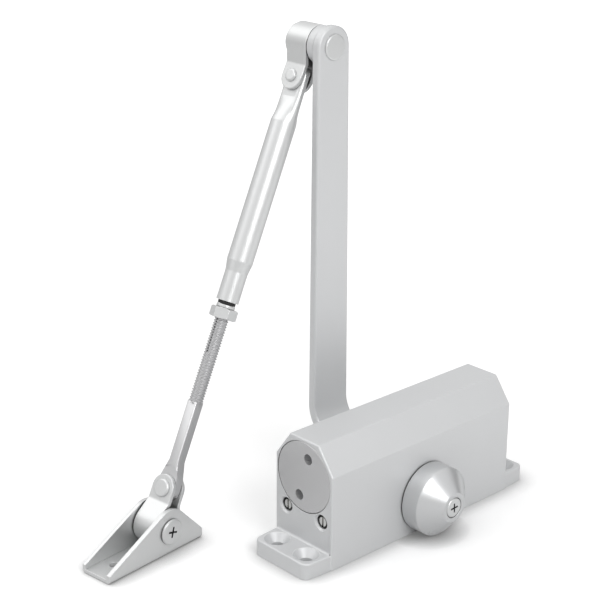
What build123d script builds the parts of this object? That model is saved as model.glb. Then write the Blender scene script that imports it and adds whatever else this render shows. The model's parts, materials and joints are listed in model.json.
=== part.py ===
# Surface mounted door closer with a jointed arm: rack and pinion body, spindle, main arm,
# adjustable forearm and foot bracket. Millimetres, +Z up. The origin lies on the mounting
# plane under the middle of the body. The body runs along X, its valve end points to -X,
# the spindle runs along Y and carries the arm on the +Y side and a cap on the -Y side.
import os
from math import acos, atan2, cos, hypot, pi, radians, sin, sqrt, tan

from build123d import *

# Casting
body_length = 118.0
body_width = 36.4
body_height = 58.0
bevel_across = 9.2
bevel_down = 12.5
foot_length = 14.5
foot_thickness = 7.8
foot_tip_width = 33.5
foot_corner = 3.5
foot_inset = 0.4
casting_edge = 0.8
casting_root = 1.2
hole_row_spacing = 132.0
hole_pair_spacing = 19.0
mounting_hole_radius = 3.0
countersink_radius = 6.0

# Cylinder and its end plugs
bore_height = 39.6
bore_radius = 15.5
plug_radius = 17.0
plug_thickness = 10.0
plug_edge = 0.5
plug_groove_lead = 1.0
plug_groove_depth = 2.1
seal_thickness = 2.0
seal_play = 0.2
spigot_length = 4.0
spanner_hole_radius = 2.5
spanner_hole_reach = 9.9
spanner_hole_turn = 15.8
spanner_hole_depth = 5.0

# Fits
thread_gap = 0.05
running_gap = 0.03
seal_gap = 0.02
side_gap = 0.3
head_gap = 0.1
knuckle_gap = 0.5

# Spindle and its gear, a little nearer to the spring end than to the valve end
spindle_place = 1.2
spindle_height = 17.1
gear_module = 1.5
gear_teeth = 12
pressure_angle = 25.0
tooth_backlash = 0.06
pinion_width = 14.0
journal_radius = 6.5
collar_radius = 7.5
bearing_radius = 8.2
bearing_length = 4.8
square_end_side = 9.0
square_edge = 0.8
square_front_run = 11.5
shaft_edge = 0.5
screw_hole_radius = 2.5
screw_hole_front = 12.0
screw_hole_rear = 14.0
opening_radius = 10.8
gland_start = 10.6
gland_flange_radius = 12.0
gland_flange_end = 20.0
gland_slot_width = 2.4
gland_slot_depth = 1.5

# Piston and spring
piston_front_gap = 7.0
piston_head = 8.5
piston_rear = 13.0
rack_lead = 7.0
rack_end = 8.5
spring_cup_radius = 10.0
spring_radius = 8.2
spring_wire_radius = 1.3
spring_coils = 9.0
spring_spigot_gap = 0.4
check_ball_radius = 2.5
check_port_radius = 1.6
check_chamber_radius = 3.2
check_chamber_depth = 6.0
check_retainer_thickness = 0.8

# Speed valves
valve_offset = 11.3
valve_height = 21.6
valve_bore_radius = 3.3
valve_bore_depth = 20.0
valve_mouth_radius = 4.1
valve_recess = 1.2
valve_head_radius = 2.7
valve_head_length = 3.4
valve_length = 17.0
valve_neck_step = 1.0
valve_slot_width = 0.9
valve_slot_depth = 1.2
valve_needle_radius = 1.1
valve_needle_length = 3.0
port_radius = 1.3
port_lead = 4.0
port_stop = 6.0
oil_way_length = 12.0

# Spindle cap
cap_gap = 0.3
cap_radius = 16.5
cap_rim_length = 9.2
cap_tip_radius = 7.0
cap_length = 17.4
cap_wall = 1.6
cap_base_edge = 0.8
cap_edge = 0.3
cap_post_radius = 7.6
cap_screw_head_radius = 4.8
cap_screw_seat_depth = 2.0
cap_screw_engagement = 10.0

# Main arm
arm_front = 45.2
arm_thickness = 4.0
arm_width = 22.4
arm_tip_radius = 9.6
arm_front_edge = 1.2
arm_rear_edge = 0.3
crank_foot_rise = 8.0
crank_foot_radius = 5.0
crank_rise = 17.0
crank_radius = 15.0
hub_front = 20.5
hub_length = 11.0
hub_radius = 11.5
elbow_height = 215.5
arm_washer_radius = 7.8
arm_washer_thickness = 1.5
hexagon_flats = 10.0
hexagon_height = 4.0
arm_screw_engagement = 11.0

# Knuckles
strap_sheet = 1.8
strap_outer_radius = 8.8
strap_width = 12.6
strap_gap = 4.8
strap_neck = 11.0
strap_bend = 3.0
strap_edge = 0.4
knuckle_reach = 17.2
bush_edge = 0.3
elbow_pin_radius = 4.0
elbow_head_radius = 5.9
elbow_head_height = 0.9
elbow_tail_radius = 5.5
elbow_tail_height = 1.5
elbow_collar_radius = 8.8
elbow_washer_radius = 8.0
elbow_washer_thickness = 1.3
rivet_radius = 2.5
rivet_head_radius = 4.2
rivet_tail_radius = 3.0
rivet_head_height = 1.3
rivet_head_edge = 0.9
elbow_strap_start = 54.7

# Forearm
forearm_lean = 26.6
forearm_drift = 2.9
eye_thickness = 4.4
eye_drop = 9.0
round_drop = 21.0
tube_radius = 6.0
tube_wall = 1.5
tube_end = 105.8
swage_run = 18.8
swage_length = 5.0
swage_radius = 5.2
rod_radius = 3.35
rod_eye_radius = 5.2
rod_eye_rise = 5.0
rod_pad_rise = 10.8
rod_shank_rise = 13.0
rod_shank_side = 5.5
rod_shank_edge = 0.8
rod_thread_rise = 41.4
rod_edge = 0.6
thread_engagement = 40.8
nut_gap = 3.1
nut_height = 5.0
nut_across_flats = 11.0
nut_turn = 7.0
nut_bevel = 0.1

# Foot bracket
bracket_sheet = 2.0
bracket_turn = 6.3
bracket_front = -37.2
bracket_rear = 20.2
bracket_front_height = 4.2
bracket_rear_height = 4.8
bracket_crown_radius = 10.3
bracket_floor_gap = 0.5
bracket_edge = 0.4
bracket_screw_radius = 3.0
bracket_head_radius = 6.0
bracket_head_height = 1.5
bracket_screw_end = 0.8
bracket_hole_radius = 2.4
bracket_hole_front = -26.0
bracket_hole_rear = 14.0

# Derived sizes
half_length = body_length / 2
half_width = body_width / 2
plug_seat = half_length - plug_thickness
piston_front = piston_front_gap - plug_seat
spring_cup_floor = piston_front + piston_head
rack_start = piston_front + rack_lead
gear_pitch_radius = gear_module * gear_teeth / 2
gear_tip_radius = gear_pitch_radius + gear_module
gear_root_radius = gear_pitch_radius - 1.25 * gear_module
gear_chamber_radius = gear_tip_radius + 1.0
rack_pitch_height = spindle_height + gear_pitch_radius
rack_tip_height = rack_pitch_height - gear_module
rack_root_height = rack_pitch_height + 1.25 * gear_module
rack_pitch = pi * gear_module
swage_start = tube_end - swage_run
rod_top = tube_end - thread_engagement
nut_start = tube_end + nut_gap
bracket_inner_half = strap_width / 2 + knuckle_gap
bush_length = strap_width + 2 * (knuckle_gap - head_gap)
bracket_outer_half = bracket_inner_half + bracket_sheet
bracket_axis_height = strap_outer_radius + bracket_floor_gap + bracket_sheet

spindle_axis = Axis((spindle_place, 0, spindle_height), (0, 1, 0))
spindle_section = Plane.YZ.offset(spindle_place)


def save(piece, name):
    """Label a finished piece and write it as its own file."""
    piece.part.label = name
    export_step(piece.part, f"parts/{name}.step")


def place(piece, plane):
    """Move a piece from the frame it was drawn in to its place on the closer."""
    piece.part.locate(plane.location)


def across_spindle(y):
    """A plane square to the spindle, y behind the middle, facing the arm side."""
    return Plane(
        origin=(spindle_place, y, spindle_height), x_dir=(-1, 0, 0), z_dir=(0, 1, 0)
    )


def across_bore(x):
    """A plane square to the cylinder, x along the body, facing the spring end."""
    return Plane(origin=(x, 0, bore_height), x_dir=(0, 1, 0), z_dir=(1, 0, 0))


def across_valve(side, depth):
    """A plane across one speed valve, depth inside the valve end, facing inwards."""
    return Plane(
        origin=(-half_length + depth, side * valve_offset, valve_height),
        x_dir=(0, 1, 0),
        z_dir=(1, 0, 0),
    )


os.makedirs("parts", exist_ok=True)


# Casting
# A plate whose ends are the mounting feet carries a block with beveled shoulders.
with BuildPart() as closer_body:
    plate_half_width = half_width - foot_inset
    with BuildSketch(Plane.XY) as foot_plan:
        with BuildLine():
            Polyline(
                (-half_length - foot_length, -foot_tip_width / 2),
                (-half_length, -plate_half_width),
                (half_length, -plate_half_width),
                (half_length + foot_length, -foot_tip_width / 2),
                (half_length + foot_length, foot_tip_width / 2),
                (half_length, plate_half_width),
                (-half_length, plate_half_width),
                (-half_length - foot_length, foot_tip_width / 2),
                close=True,
            )
        make_face()
        tips = foot_plan.vertices().group_by(Axis.X)
        fillet(tips[0] + tips[-1], foot_corner)
    extrude(amount=foot_thickness)
    fillet(closer_body.faces().sort_by(Axis.Z)[-1].edges(), casting_edge)
    with BuildSketch(Plane.YZ):
        with BuildLine():
            Polyline(
                (-half_width, 0),
                (-half_width, body_height - bevel_down),
                (-half_width + bevel_across, body_height),
                (half_width - bevel_across, body_height),
                (half_width, body_height - bevel_down),
                (half_width, 0),
                close=True,
            )
        make_face()
    extrude(amount=half_length, both=True)
    block_edges = closer_body.edges().filter_by(
        lambda edge: edge.center().Z > foot_thickness + casting_edge
    )
    fillet(block_edges, casting_edge)
    # Hollow roots where the ends of the block stand on the feet
    with BuildSketch(Plane.XZ):
        for side in (-1, 1):
            with Locations((side * half_length, foot_thickness)):
                Rectangle(2 * casting_root, 2 * casting_root)
        for side in (-1, 1):
            root_centre = (side * (half_length + casting_root), foot_thickness + casting_root)
            with Locations(root_centre):
                Circle(casting_root, mode=Mode.SUBTRACT)
    extrude(amount=plate_half_width - casting_edge, both=True)
    # Mounting holes
    with Locations(Plane.XY.offset(foot_thickness)):
        with GridLocations(hole_row_spacing, hole_pair_spacing, 2, 2):
            CounterSinkHole(mounting_hole_radius, countersink_radius)
    # Cylinder bore with a wider seat for the plug at each end
    with BuildSketch(across_bore(-half_length)):
        Circle(bore_radius)
    extrude(amount=body_length, mode=Mode.SUBTRACT)
    for seat_start in (-half_length, plug_seat):
        with BuildSketch(across_bore(seat_start)):
            Circle(plug_radius)
        extrude(amount=plug_thickness, mode=Mode.SUBTRACT)
    # Gear chamber, the opening behind it and the stepped hole for the front bearing
    with BuildSketch(across_spindle(-pinion_width / 2 - side_gap)):
        Circle(gear_chamber_radius)
    extrude(amount=pinion_width + 2 * side_gap, mode=Mode.SUBTRACT)
    with BuildSketch(across_spindle(0)):
        Circle(opening_radius)
    extrude(amount=half_width, mode=Mode.SUBTRACT)
    with BuildSketch(across_spindle(-half_width)):
        Circle(bearing_radius)
    extrude(amount=half_width, mode=Mode.SUBTRACT)
    # Valve bores with a beveled mouth, each with an oil way and two ports into the cylinder
    for side in (-1, 1):
        with BuildSketch(across_valve(side, 0)):
            Circle(valve_bore_radius)
        extrude(amount=valve_bore_depth, mode=Mode.SUBTRACT)
        with BuildSketch(across_valve(side, 0)):
            Circle(valve_mouth_radius)
        mouth_depth = valve_mouth_radius - valve_bore_radius
        extrude(amount=mouth_depth, taper=45, mode=Mode.SUBTRACT)
        oil_way_end = valve_bore_depth + oil_way_length
        with BuildSketch(across_valve(side, valve_bore_depth)):
            Circle(port_radius)
        extrude(amount=oil_way_length, mode=Mode.SUBTRACT)
        port_places = (plug_thickness + port_lead, oil_way_end - port_radius)
        with BuildSketch(Plane.XY.offset(valve_height)):
            for depth in port_places:
                with Locations((-half_length + depth, side * valve_offset)):
                    Circle(port_radius)
        extrude(amount=bore_height - valve_height - port_stop, mode=Mode.SUBTRACT)
save(closer_body, "closer_body")


# End plugs
def make_end_plug(side, name):
    """A screwed plug with two spanner holes outside and a seal groove inside."""
    inner_face = side * plug_seat
    outer_face = side * half_length
    with BuildPart() as plug:
        with BuildSketch(across_bore(inner_face)):
            Circle(plug_radius - thread_gap)
        extrude(amount=side * plug_thickness)
        rim = plug.faces().sort_by(Axis.X)[-1 if side > 0 else 0].edges()
        chamfer(rim, plug_edge)
        groove_start = inner_face + side * plug_groove_lead
        with BuildSketch(across_bore(groove_start)):
            Circle(plug_radius)
            Circle(plug_radius - plug_groove_depth - thread_gap, mode=Mode.SUBTRACT)
        extrude(amount=side * (seal_thickness + seal_play), mode=Mode.SUBTRACT)
        with BuildSketch(across_bore(outer_face)):
            turn = 90 + spanner_hole_turn
            with PolarLocations(spanner_hole_reach, 2, start_angle=turn):
                Circle(spanner_hole_radius)
        extrude(amount=-side * spanner_hole_depth, mode=Mode.SUBTRACT)
        if side > 0:
            # A spigot keeps the spring central
            with BuildSketch(across_bore(inner_face)):
                Circle(spring_radius - spring_wire_radius - spring_spigot_gap)
            extrude(amount=-spigot_length)
    save(plug, name)
    ring_radius = plug_radius - seal_gap - seal_thickness / 2
    ring_place = groove_start + side * (seal_thickness + seal_play) / 2
    with BuildPart() as seal:
        with BuildSketch(Plane.XZ):
            with Locations((ring_place, bore_height + ring_radius)):
                Circle(seal_thickness / 2)
        revolve(axis=Axis((0, 0, bore_height), (1, 0, 0)))
    save(seal, name + "_seal")


make_end_plug(-1, "valve_end_plug")
make_end_plug(1, "spring_end_plug")


# Speed valves
def make_valve(side, name):
    """A needle screw with a slotted head and a sealing ring, sunk in the valve end."""
    screw_radius = valve_bore_radius - thread_gap
    ring_start = valve_recess + valve_head_length
    body_start = ring_start + seal_thickness
    with BuildPart() as valve:
        with BuildSketch(across_valve(side, valve_recess)):
            Circle(valve_head_radius)
        extrude(amount=valve_head_length)
        with BuildSketch(across_valve(side, valve_recess)):
            Rectangle(valve_slot_width, 2 * valve_head_radius)
        extrude(amount=valve_slot_depth, mode=Mode.SUBTRACT)
        with BuildSketch(across_valve(side, ring_start)):
            Circle(valve_head_radius - valve_neck_step)
        extrude(amount=seal_thickness)
        with BuildSketch(across_valve(side, body_start)):
            Circle(screw_radius)
        extrude(amount=valve_length - valve_needle_length - body_start)
        with BuildSketch(across_valve(side, valve_length - valve_needle_length)):
            Circle(valve_needle_radius)
        extrude(amount=valve_needle_length)
    save(valve, name)
    hole_radius = valve_head_radius - valve_neck_step + thread_gap
    with BuildPart() as ring:
        with BuildSketch(across_valve(side, ring_start + 0.05)):
            Circle(screw_radius)
            Circle(hole_radius, mode=Mode.SUBTRACT)
        extrude(amount=seal_thickness - 0.1)
        fillet(ring.edges().filter_by(GeomType.CIRCLE).sort_by(SortBy.RADIUS)[-2:], 0.7)
    save(ring, name + "_seal")


make_valve(-1, "closing_speed_valve")
make_valve(1, "latching_speed_valve")


# Rings around the spindle
def make_spindle_ring(inner_radius, outer_radius, start, end, name):
    """A plain ring around the spindle from start to end."""
    with BuildPart() as ring:
        with BuildSketch(across_spindle(start)):
            Circle(outer_radius)
            Circle(inner_radius, mode=Mode.SUBTRACT)
        extrude(amount=end - start)
        chamfer(ring.edges().filter_by(GeomType.CIRCLE), 0.25)
    save(ring, name)


bearing_front = -pinion_width / 2 - side_gap - 0.1
bearing_inner = journal_radius + running_gap
bearing_outer = bearing_radius - seal_gap
seal_length = 2.2
gland_pocket_start = gland_start + 0.2
gland_pocket_end = gland_pocket_start + bearing_length + seal_length + 0.2
make_spindle_ring(
    bearing_inner, bearing_outer, bearing_front - bearing_length, bearing_front, "front_bearing"
)
make_spindle_ring(
    bearing_inner,
    bearing_outer,
    bearing_front - bearing_length - seal_length - 0.2,
    bearing_front - bearing_length - 0.2,
    "front_shaft_seal",
)
make_spindle_ring(
    bearing_inner,
    bearing_outer,
    gland_pocket_start,
    gland_pocket_start + bearing_length,
    "rear_bearing",
)
make_spindle_ring(
    bearing_inner,
    bearing_outer,
    gland_pocket_end - seal_length,
    gland_pocket_end,
    "rear_shaft_seal",
)

# Gland nut that closes the opening behind the gear and carries the rear bearing
with BuildPart() as rear_gland_nut:
    with BuildSketch(across_spindle(gland_start)):
        Circle(opening_radius - thread_gap)
    extrude(amount=half_width - gland_start + seal_gap)
    with BuildSketch(across_spindle(half_width + seal_gap)):
        Circle(gland_flange_radius)
    extrude(amount=gland_flange_end - half_width - seal_gap)
    with BuildSketch(across_spindle(gland_start)):
        Circle(bearing_radius)
    extrude(amount=gland_pocket_end - gland_start, mode=Mode.SUBTRACT)
    with BuildSketch(across_spindle(gland_start)):
        Circle(journal_radius + side_gap)
    extrude(amount=gland_flange_end - gland_start, mode=Mode.SUBTRACT)
    chamfer(rear_gland_nut.faces().sort_by(Axis.Y)[-1].edges(), 0.4)
    with BuildSketch(across_spindle(gland_flange_end)):
        with PolarLocations(gland_flange_radius, 4, start_angle=45):
            Rectangle(gland_slot_width, gland_slot_width)
    extrude(amount=-gland_slot_depth, mode=Mode.SUBTRACT)
save(rear_gland_nut, "rear_gland_nut")


# Spindle
def involute_point(base_radius, radius):
    """The point where the involute of the base circle reaches a given radius."""
    roll = sqrt((radius / base_radius) ** 2 - 1)
    return (
        base_radius * (cos(roll) + roll * sin(roll)),
        base_radius * (sin(roll) - roll * cos(roll)),
    )


gear_base_radius = gear_pitch_radius * cos(radians(pressure_angle))
pitch_point = involute_point(gear_base_radius, gear_pitch_radius)
tooth_half_angle = pi / (2 * gear_teeth) + atan2(pitch_point[1], pitch_point[0])


def flank_point(radius, side):
    """A point on one flank of the tooth that points along the sketch's X."""
    x, y = involute_point(gear_base_radius, radius)
    angle = atan2(y, x) - tooth_half_angle
    return (radius * cos(angle), -side * radius * sin(angle))


flank_middle = (gear_base_radius + gear_tip_radius) / 2
with BuildSketch() as gear_tooth:
    with BuildLine():
        flank_radii = (gear_base_radius, gear_pitch_radius, flank_middle, gear_tip_radius)
        upper_flank = Spline([flank_point(radius, 1) for radius in sorted(flank_radii)])
        lower_flank = Spline([flank_point(radius, -1) for radius in sorted(flank_radii)])
        Line(upper_flank @ 1, lower_flank @ 1)
        root_half = (lower_flank @ 0).Y
        Polyline(
            upper_flank @ 0,
            (gear_root_radius * 0.9, -root_half),
            (gear_root_radius * 0.9, root_half),
            lower_flank @ 0,
        )
    make_face()

journal_front = bearing_front - bearing_length - seal_length - 0.4
journal_rear = half_width + 0.6
square_front_end = -half_width - square_front_run
square_rear_end = hub_front + hub_length - 0.5
with BuildPart() as pinion_shaft:
    with BuildSketch(across_spindle(-pinion_width / 2)):
        Circle(gear_root_radius)
        with PolarLocations(0, gear_teeth, start_angle=90):
            add(gear_tooth.sketch)
    extrude(amount=pinion_width)
    with BuildSketch(across_spindle(pinion_width / 2)):
        Circle(collar_radius)
    extrude(amount=gland_start - 0.2 - pinion_width / 2)
    with BuildSketch(across_spindle(journal_front)):
        Circle(journal_radius)
    extrude(amount=journal_rear - journal_front)
    with BuildSketch(across_spindle(square_front_end)):
        RectangleRounded(square_end_side, square_end_side, square_edge)
    extrude(amount=square_rear_end - square_front_end)
    chamfer(pinion_shaft.faces().sort_by(Axis.Y)[0].edges(), shaft_edge)
    chamfer(pinion_shaft.faces().sort_by(Axis.Y)[-1].edges(), shaft_edge)
    with BuildSketch(across_spindle(square_front_end)):
        Circle(screw_hole_radius)
    extrude(amount=screw_hole_front, mode=Mode.SUBTRACT)
    with BuildSketch(across_spindle(square_rear_end)):
        Circle(screw_hole_radius)
    extrude(amount=-screw_hole_rear, mode=Mode.SUBTRACT)
save(pinion_shaft, "pinion_shaft")

# Cap over the unused end of the spindle, hollow, with a post that meets the square end
cap_base = -half_width - cap_gap
cap_tip = cap_base - cap_length
cap_inner_radius = cap_radius - cap_wall
cap_slope = (cap_length - cap_rim_length) / (cap_radius - cap_tip_radius)
cone_start = cap_tip_radius * cap_slope - cap_wall * hypot(1, cap_slope)
with BuildPart() as pinion_cap:
    with BuildSketch(spindle_section):
        with BuildLine():
            Polyline(
                (cap_base, spindle_height),
                (cap_base, spindle_height + cap_radius),
                (cap_base - cap_rim_length, spindle_height + cap_radius),
                (cap_tip, spindle_height + cap_tip_radius),
                (cap_tip, spindle_height),
                close=True,
            )
        make_face()
    revolve(axis=spindle_axis)
    cap_edges = pinion_cap.edges().filter_by(GeomType.CIRCLE).sort_by(Axis.Y)
    fillet(cap_edges[0], cap_base_edge)
    fillet(pinion_cap.edges().filter_by(GeomType.CIRCLE).sort_by(Axis.Y)[1:], cap_edge)
    with BuildSketch(spindle_section):
        with BuildLine():
            Polyline(
                (cap_base, spindle_height + cap_post_radius),
                (cap_base, spindle_height + cap_inner_radius),
                (cap_tip + cap_inner_radius * cap_slope - cone_start, spindle_height + cap_inner_radius),
                (cap_tip + cap_post_radius * cap_slope - cone_start, spindle_height + cap_post_radius),
                close=True,
            )
        make_face()
    revolve(axis=spindle_axis, mode=Mode.SUBTRACT)
    with BuildSketch(across_spindle(cap_base)):
        Rectangle(square_end_side + 2 * seal_gap, square_end_side + 2 * seal_gap)
    extrude(amount=square_front_end - cap_base - seal_gap, mode=Mode.SUBTRACT)
    with BuildSketch(across_spindle(cap_base)):
        Circle(journal_radius + side_gap)
    extrude(amount=-1.5, mode=Mode.SUBTRACT)
    with BuildSketch(across_spindle(cap_tip)):
        Circle(screw_hole_radius + side_gap)
    extrude(amount=cap_length, mode=Mode.SUBTRACT)
    with BuildSketch(across_spindle(cap_tip)):
        Circle(cap_screw_head_radius + head_gap)
    extrude(amount=cap_screw_seat_depth, mode=Mode.SUBTRACT)
save(pinion_cap, "pinion_cap")

with BuildPart() as cap_screw:
    with BuildSketch(across_spindle(cap_tip - head_gap)):
        Circle(cap_screw_head_radius)
    extrude(amount=cap_screw_seat_depth + head_gap - seal_gap)
    fillet(cap_screw.faces().sort_by(Axis.Y)[0].edges(), 0.7)
    with BuildSketch(across_spindle(cap_tip)):
        Circle(screw_hole_radius - thread_gap)
    extrude(amount=square_front_end + cap_screw_engagement - cap_tip)
save(cap_screw, "cap_screw")


# Main arm
# Drawn as a band seen from the end of the body, then trimmed to the outline seen from behind.
arm_middle = arm_front + arm_thickness / 2
hub_middle = hub_front + hub_length / 2
arm_top = elbow_height + arm_tip_radius
with BuildPart() as main_arm:
    with BuildSketch(Plane.YZ):
        with BuildLine():
            arm_path = FilletPolyline(
                (hub_middle, spindle_height - hub_radius),
                (hub_middle, spindle_height + crank_foot_rise),
                (arm_middle, spindle_height + crank_rise),
                (arm_middle, arm_top),
                radius=(crank_foot_radius, crank_radius),
            )
        trace(arm_path, line_width=arm_thickness)
    extrude(amount=arm_width, both=True)
    with BuildSketch(Plane.XZ):
        with Locations((0, elbow_height)):
            Circle(arm_tip_radius)
        with Locations((spindle_place, spindle_height)):
            Circle(arm_width / 2)
        make_hull()
    extrude(amount=-2 * arm_front, mode=Mode.INTERSECT)
    # The edges towards the body are rounder than those at the back
    for side, radius in ((-1, arm_front_edge), (1, arm_rear_edge)):
        broad_faces = main_arm.faces().filter_by(lambda face: side * face.normal_at().Y > 0.3)
        outline_edges = broad_faces.edges().filter_by(Axis.X, reverse=True)
        fillet(outline_edges, radius)
    with BuildSketch(across_spindle(hub_front)):
        Circle(hub_radius)
    extrude(amount=hub_length)
    with BuildSketch(across_spindle(hub_front)):
        Rectangle(square_end_side + 2 * seal_gap, square_end_side + 2 * seal_gap)
    extrude(amount=hub_length, mode=Mode.SUBTRACT)
    with BuildSketch(Plane.XZ.offset(-arm_front)):
        with Locations((0, elbow_height)):
            Circle(elbow_pin_radius + seal_gap)
    extrude(amount=-arm_thickness, mode=Mode.SUBTRACT)
save(main_arm, "main_arm")

hub_rear = hub_front + hub_length
arm_washer_end = hub_rear + arm_washer_thickness
make_spindle_ring(
    screw_hole_radius + side_gap, arm_washer_radius, hub_rear, arm_washer_end, "arm_screw_washer"
)

with BuildPart() as arm_screw:
    with BuildSketch(across_spindle(arm_washer_end)):
        RegularPolygon(hexagon_flats / 2, 6, major_radius=False)
    extrude(amount=hexagon_height)
    chamfer(arm_screw.faces().sort_by(Axis.Y)[-1].edges(), shaft_edge)
    arm_screw_tip = square_rear_end - arm_screw_engagement
    with BuildSketch(across_spindle(arm_screw_tip)):
        Circle(screw_hole_radius - thread_gap)
    extrude(amount=arm_washer_end - arm_screw_tip)
save(arm_screw, "arm_screw")

# Elbow pivot, riveted in the arm
strap_end = elbow_strap_start + strap_width
strap_middle = elbow_strap_start + strap_width / 2
arm_back = arm_front + arm_thickness
elbow_collar_end = elbow_strap_start - knuckle_gap
elbow_washer_start = strap_end + knuckle_gap
elbow_washer_end = elbow_washer_start + elbow_washer_thickness


def across_elbow(y):
    """A plane square to the elbow pin, facing away from the body."""
    return Plane(origin=(0, y, elbow_height), x_dir=(-1, 0, 0), z_dir=(0, 1, 0))


with BuildPart() as elbow_pin:
    with BuildSketch(across_elbow(arm_front)):
        Circle(elbow_head_radius)
    extrude(amount=-elbow_head_height)
    fillet(elbow_pin.faces().sort_by(Axis.Y)[0].edges(), 0.7 * elbow_head_height)
    with BuildSketch(across_elbow(arm_front)):
        Circle(elbow_pin_radius)
    extrude(amount=elbow_washer_end - arm_front)
    with BuildSketch(across_elbow(elbow_washer_end)):
        Circle(elbow_tail_radius)
    extrude(amount=elbow_tail_height)
    fillet(elbow_pin.faces().sort_by(Axis.Y)[-1].edges(), 0.6 * elbow_tail_height)
save(elbow_pin, "elbow_pin")

with BuildPart() as elbow_collar:
    with BuildSketch(across_elbow(arm_back)):
        Circle(elbow_collar_radius)
        Circle(elbow_pin_radius + seal_gap, mode=Mode.SUBTRACT)
    extrude(amount=elbow_collar_end - arm_back)
    fillet(elbow_collar.edges().filter_by(GeomType.CIRCLE).sort_by(SortBy.RADIUS)[-2:], 0.4)
save(elbow_collar, "elbow_collar")

with BuildPart() as elbow_washer:
    with BuildSketch(across_elbow(elbow_washer_start)):
        Circle(elbow_washer_radius)
        Circle(elbow_pin_radius + seal_gap, mode=Mode.SUBTRACT)
    extrude(amount=elbow_washer_end - elbow_washer_start)
    fillet(elbow_washer.edges().filter_by(GeomType.CIRCLE).sort_by(SortBy.RADIUS)[-2:], 0.3)
save(elbow_washer, "elbow_washer")


# Piston
# Round, with a flat and the rack on its underside, hollow from the spring end.
with BuildPart() as piston:
    with BuildSketch(across_bore(piston_front)):
        Circle(bore_radius - thread_gap)
    extrude(amount=piston_rear - piston_front)
    chamfer(piston.edges().filter_by(GeomType.CIRCLE), 0.4)
    with BuildSketch(across_bore(spring_cup_floor)):
        Circle(spring_cup_radius)
    extrude(amount=piston_rear - spring_cup_floor, mode=Mode.SUBTRACT)
    with BuildSketch(Plane.XZ):
        with BuildLine():
            Polyline(
                (rack_start, spindle_height),
                (rack_start, rack_tip_height),
                (rack_end, rack_tip_height),
                (rack_end, spindle_height),
                close=True,
            )
        make_face()
    extrude(amount=bore_radius, both=True, mode=Mode.SUBTRACT)
    slope = tan(radians(pressure_angle))
    gap_half_pitch = rack_pitch / 4 + tooth_backlash
    gap_half_root = gap_half_pitch - (rack_root_height - rack_pitch_height) * slope
    gap_half_tip = gap_half_pitch + (rack_pitch_height - rack_tip_height) * slope
    first_gap = int((rack_start - spindle_place) / rack_pitch)
    last_gap = int((rack_end - spindle_place) / rack_pitch)
    with BuildSketch(Plane.XZ):
        for number in range(first_gap, last_gap + 1):
            gap_centre = spindle_place + number * rack_pitch
            with BuildLine():
                Polyline(
                    (gap_centre - gap_half_tip, rack_tip_height),
                    (gap_centre - gap_half_root, rack_root_height),
                    (gap_centre + gap_half_root, rack_root_height),
                    (gap_centre + gap_half_tip, rack_tip_height),
                    close=True,
                )
            make_face()
    extrude(amount=bore_radius, both=True, mode=Mode.SUBTRACT)
    # Chamber, seat and port of the one way valve in the closed end
    with BuildSketch(across_bore(piston_front)):
        Circle(check_chamber_radius)
    extrude(amount=check_chamber_depth, mode=Mode.SUBTRACT)
    with BuildSketch(across_bore(piston_front)):
        Circle(check_port_radius)
    extrude(amount=spring_cup_floor - piston_front, mode=Mode.SUBTRACT)
save(piston, "piston")

check_seat = piston_front + check_chamber_depth
ball_place = check_seat - thread_gap - sqrt(check_ball_radius**2 - check_port_radius**2)
with BuildPart() as check_valve_ball:
    with Locations((ball_place, 0, bore_height)):
        Sphere(check_ball_radius)
save(check_valve_ball, "check_valve_ball")

with BuildPart() as check_valve_retainer:
    with BuildSketch(across_bore(piston_front)):
        Circle(check_chamber_radius - seal_gap)
        Circle(check_port_radius, mode=Mode.SUBTRACT)
    extrude(amount=check_retainer_thickness)
save(check_valve_retainer, "check_valve_retainer")

# Closing spring between the floor of the piston's cup and the plug
spring_start = spring_cup_floor + spring_wire_radius + seal_gap
spring_length = plug_seat - spring_wire_radius - seal_gap - spring_start
with BuildPart() as closing_spring:
    with BuildLine():
        coil = Helix(
            pitch=spring_length / spring_coils,
            height=spring_length,
            radius=spring_radius,
            center=(spring_start, 0, bore_height),
            direction=(1, 0, 0),
        )
    with BuildSketch(Plane(origin=coil @ 0, z_dir=coil % 0)):
        Circle(spring_wire_radius)
    sweep()
save(closing_spring, "closing_spring")


# Arm geometry
# The upper strap hangs from the elbow square to the pin, the forearm drifts a little towards
# the body, and the rod is screwed in just far enough for the foot bracket to lie flat.
lean = radians(forearm_lean)
drift = radians(forearm_drift)
turn = radians(bracket_turn)
elbow_centre = Vector(0, strap_middle, elbow_height)
strap_way = Vector(-sin(lean), 0, -cos(lean))
upper_pivot_way = Vector(cos(lean), 0, -sin(lean))
forearm_way = strap_way * cos(drift) + Vector(0, -sin(drift), 0)
bracket_way = Vector(cos(turn), sin(turn), 0)
bracket_pivot_way = Vector(-sin(turn), cos(turn), 0)
lower_pivot_way = bracket_pivot_way.cross(forearm_way).normalized()
foot_strap_way = lower_pivot_way.cross(bracket_pivot_way)
strap_drop = -knuckle_reach * (strap_way.Z + foot_strap_way.Z)
forearm_drop = elbow_height - bracket_axis_height - strap_drop
forearm_span = -forearm_drop / forearm_way.Z
upper_rivet_centre = elbow_centre + strap_way * knuckle_reach
lower_rivet_centre = upper_rivet_centre + forearm_way * forearm_span
foot_centre = lower_rivet_centre + foot_strap_way * knuckle_reach

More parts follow.
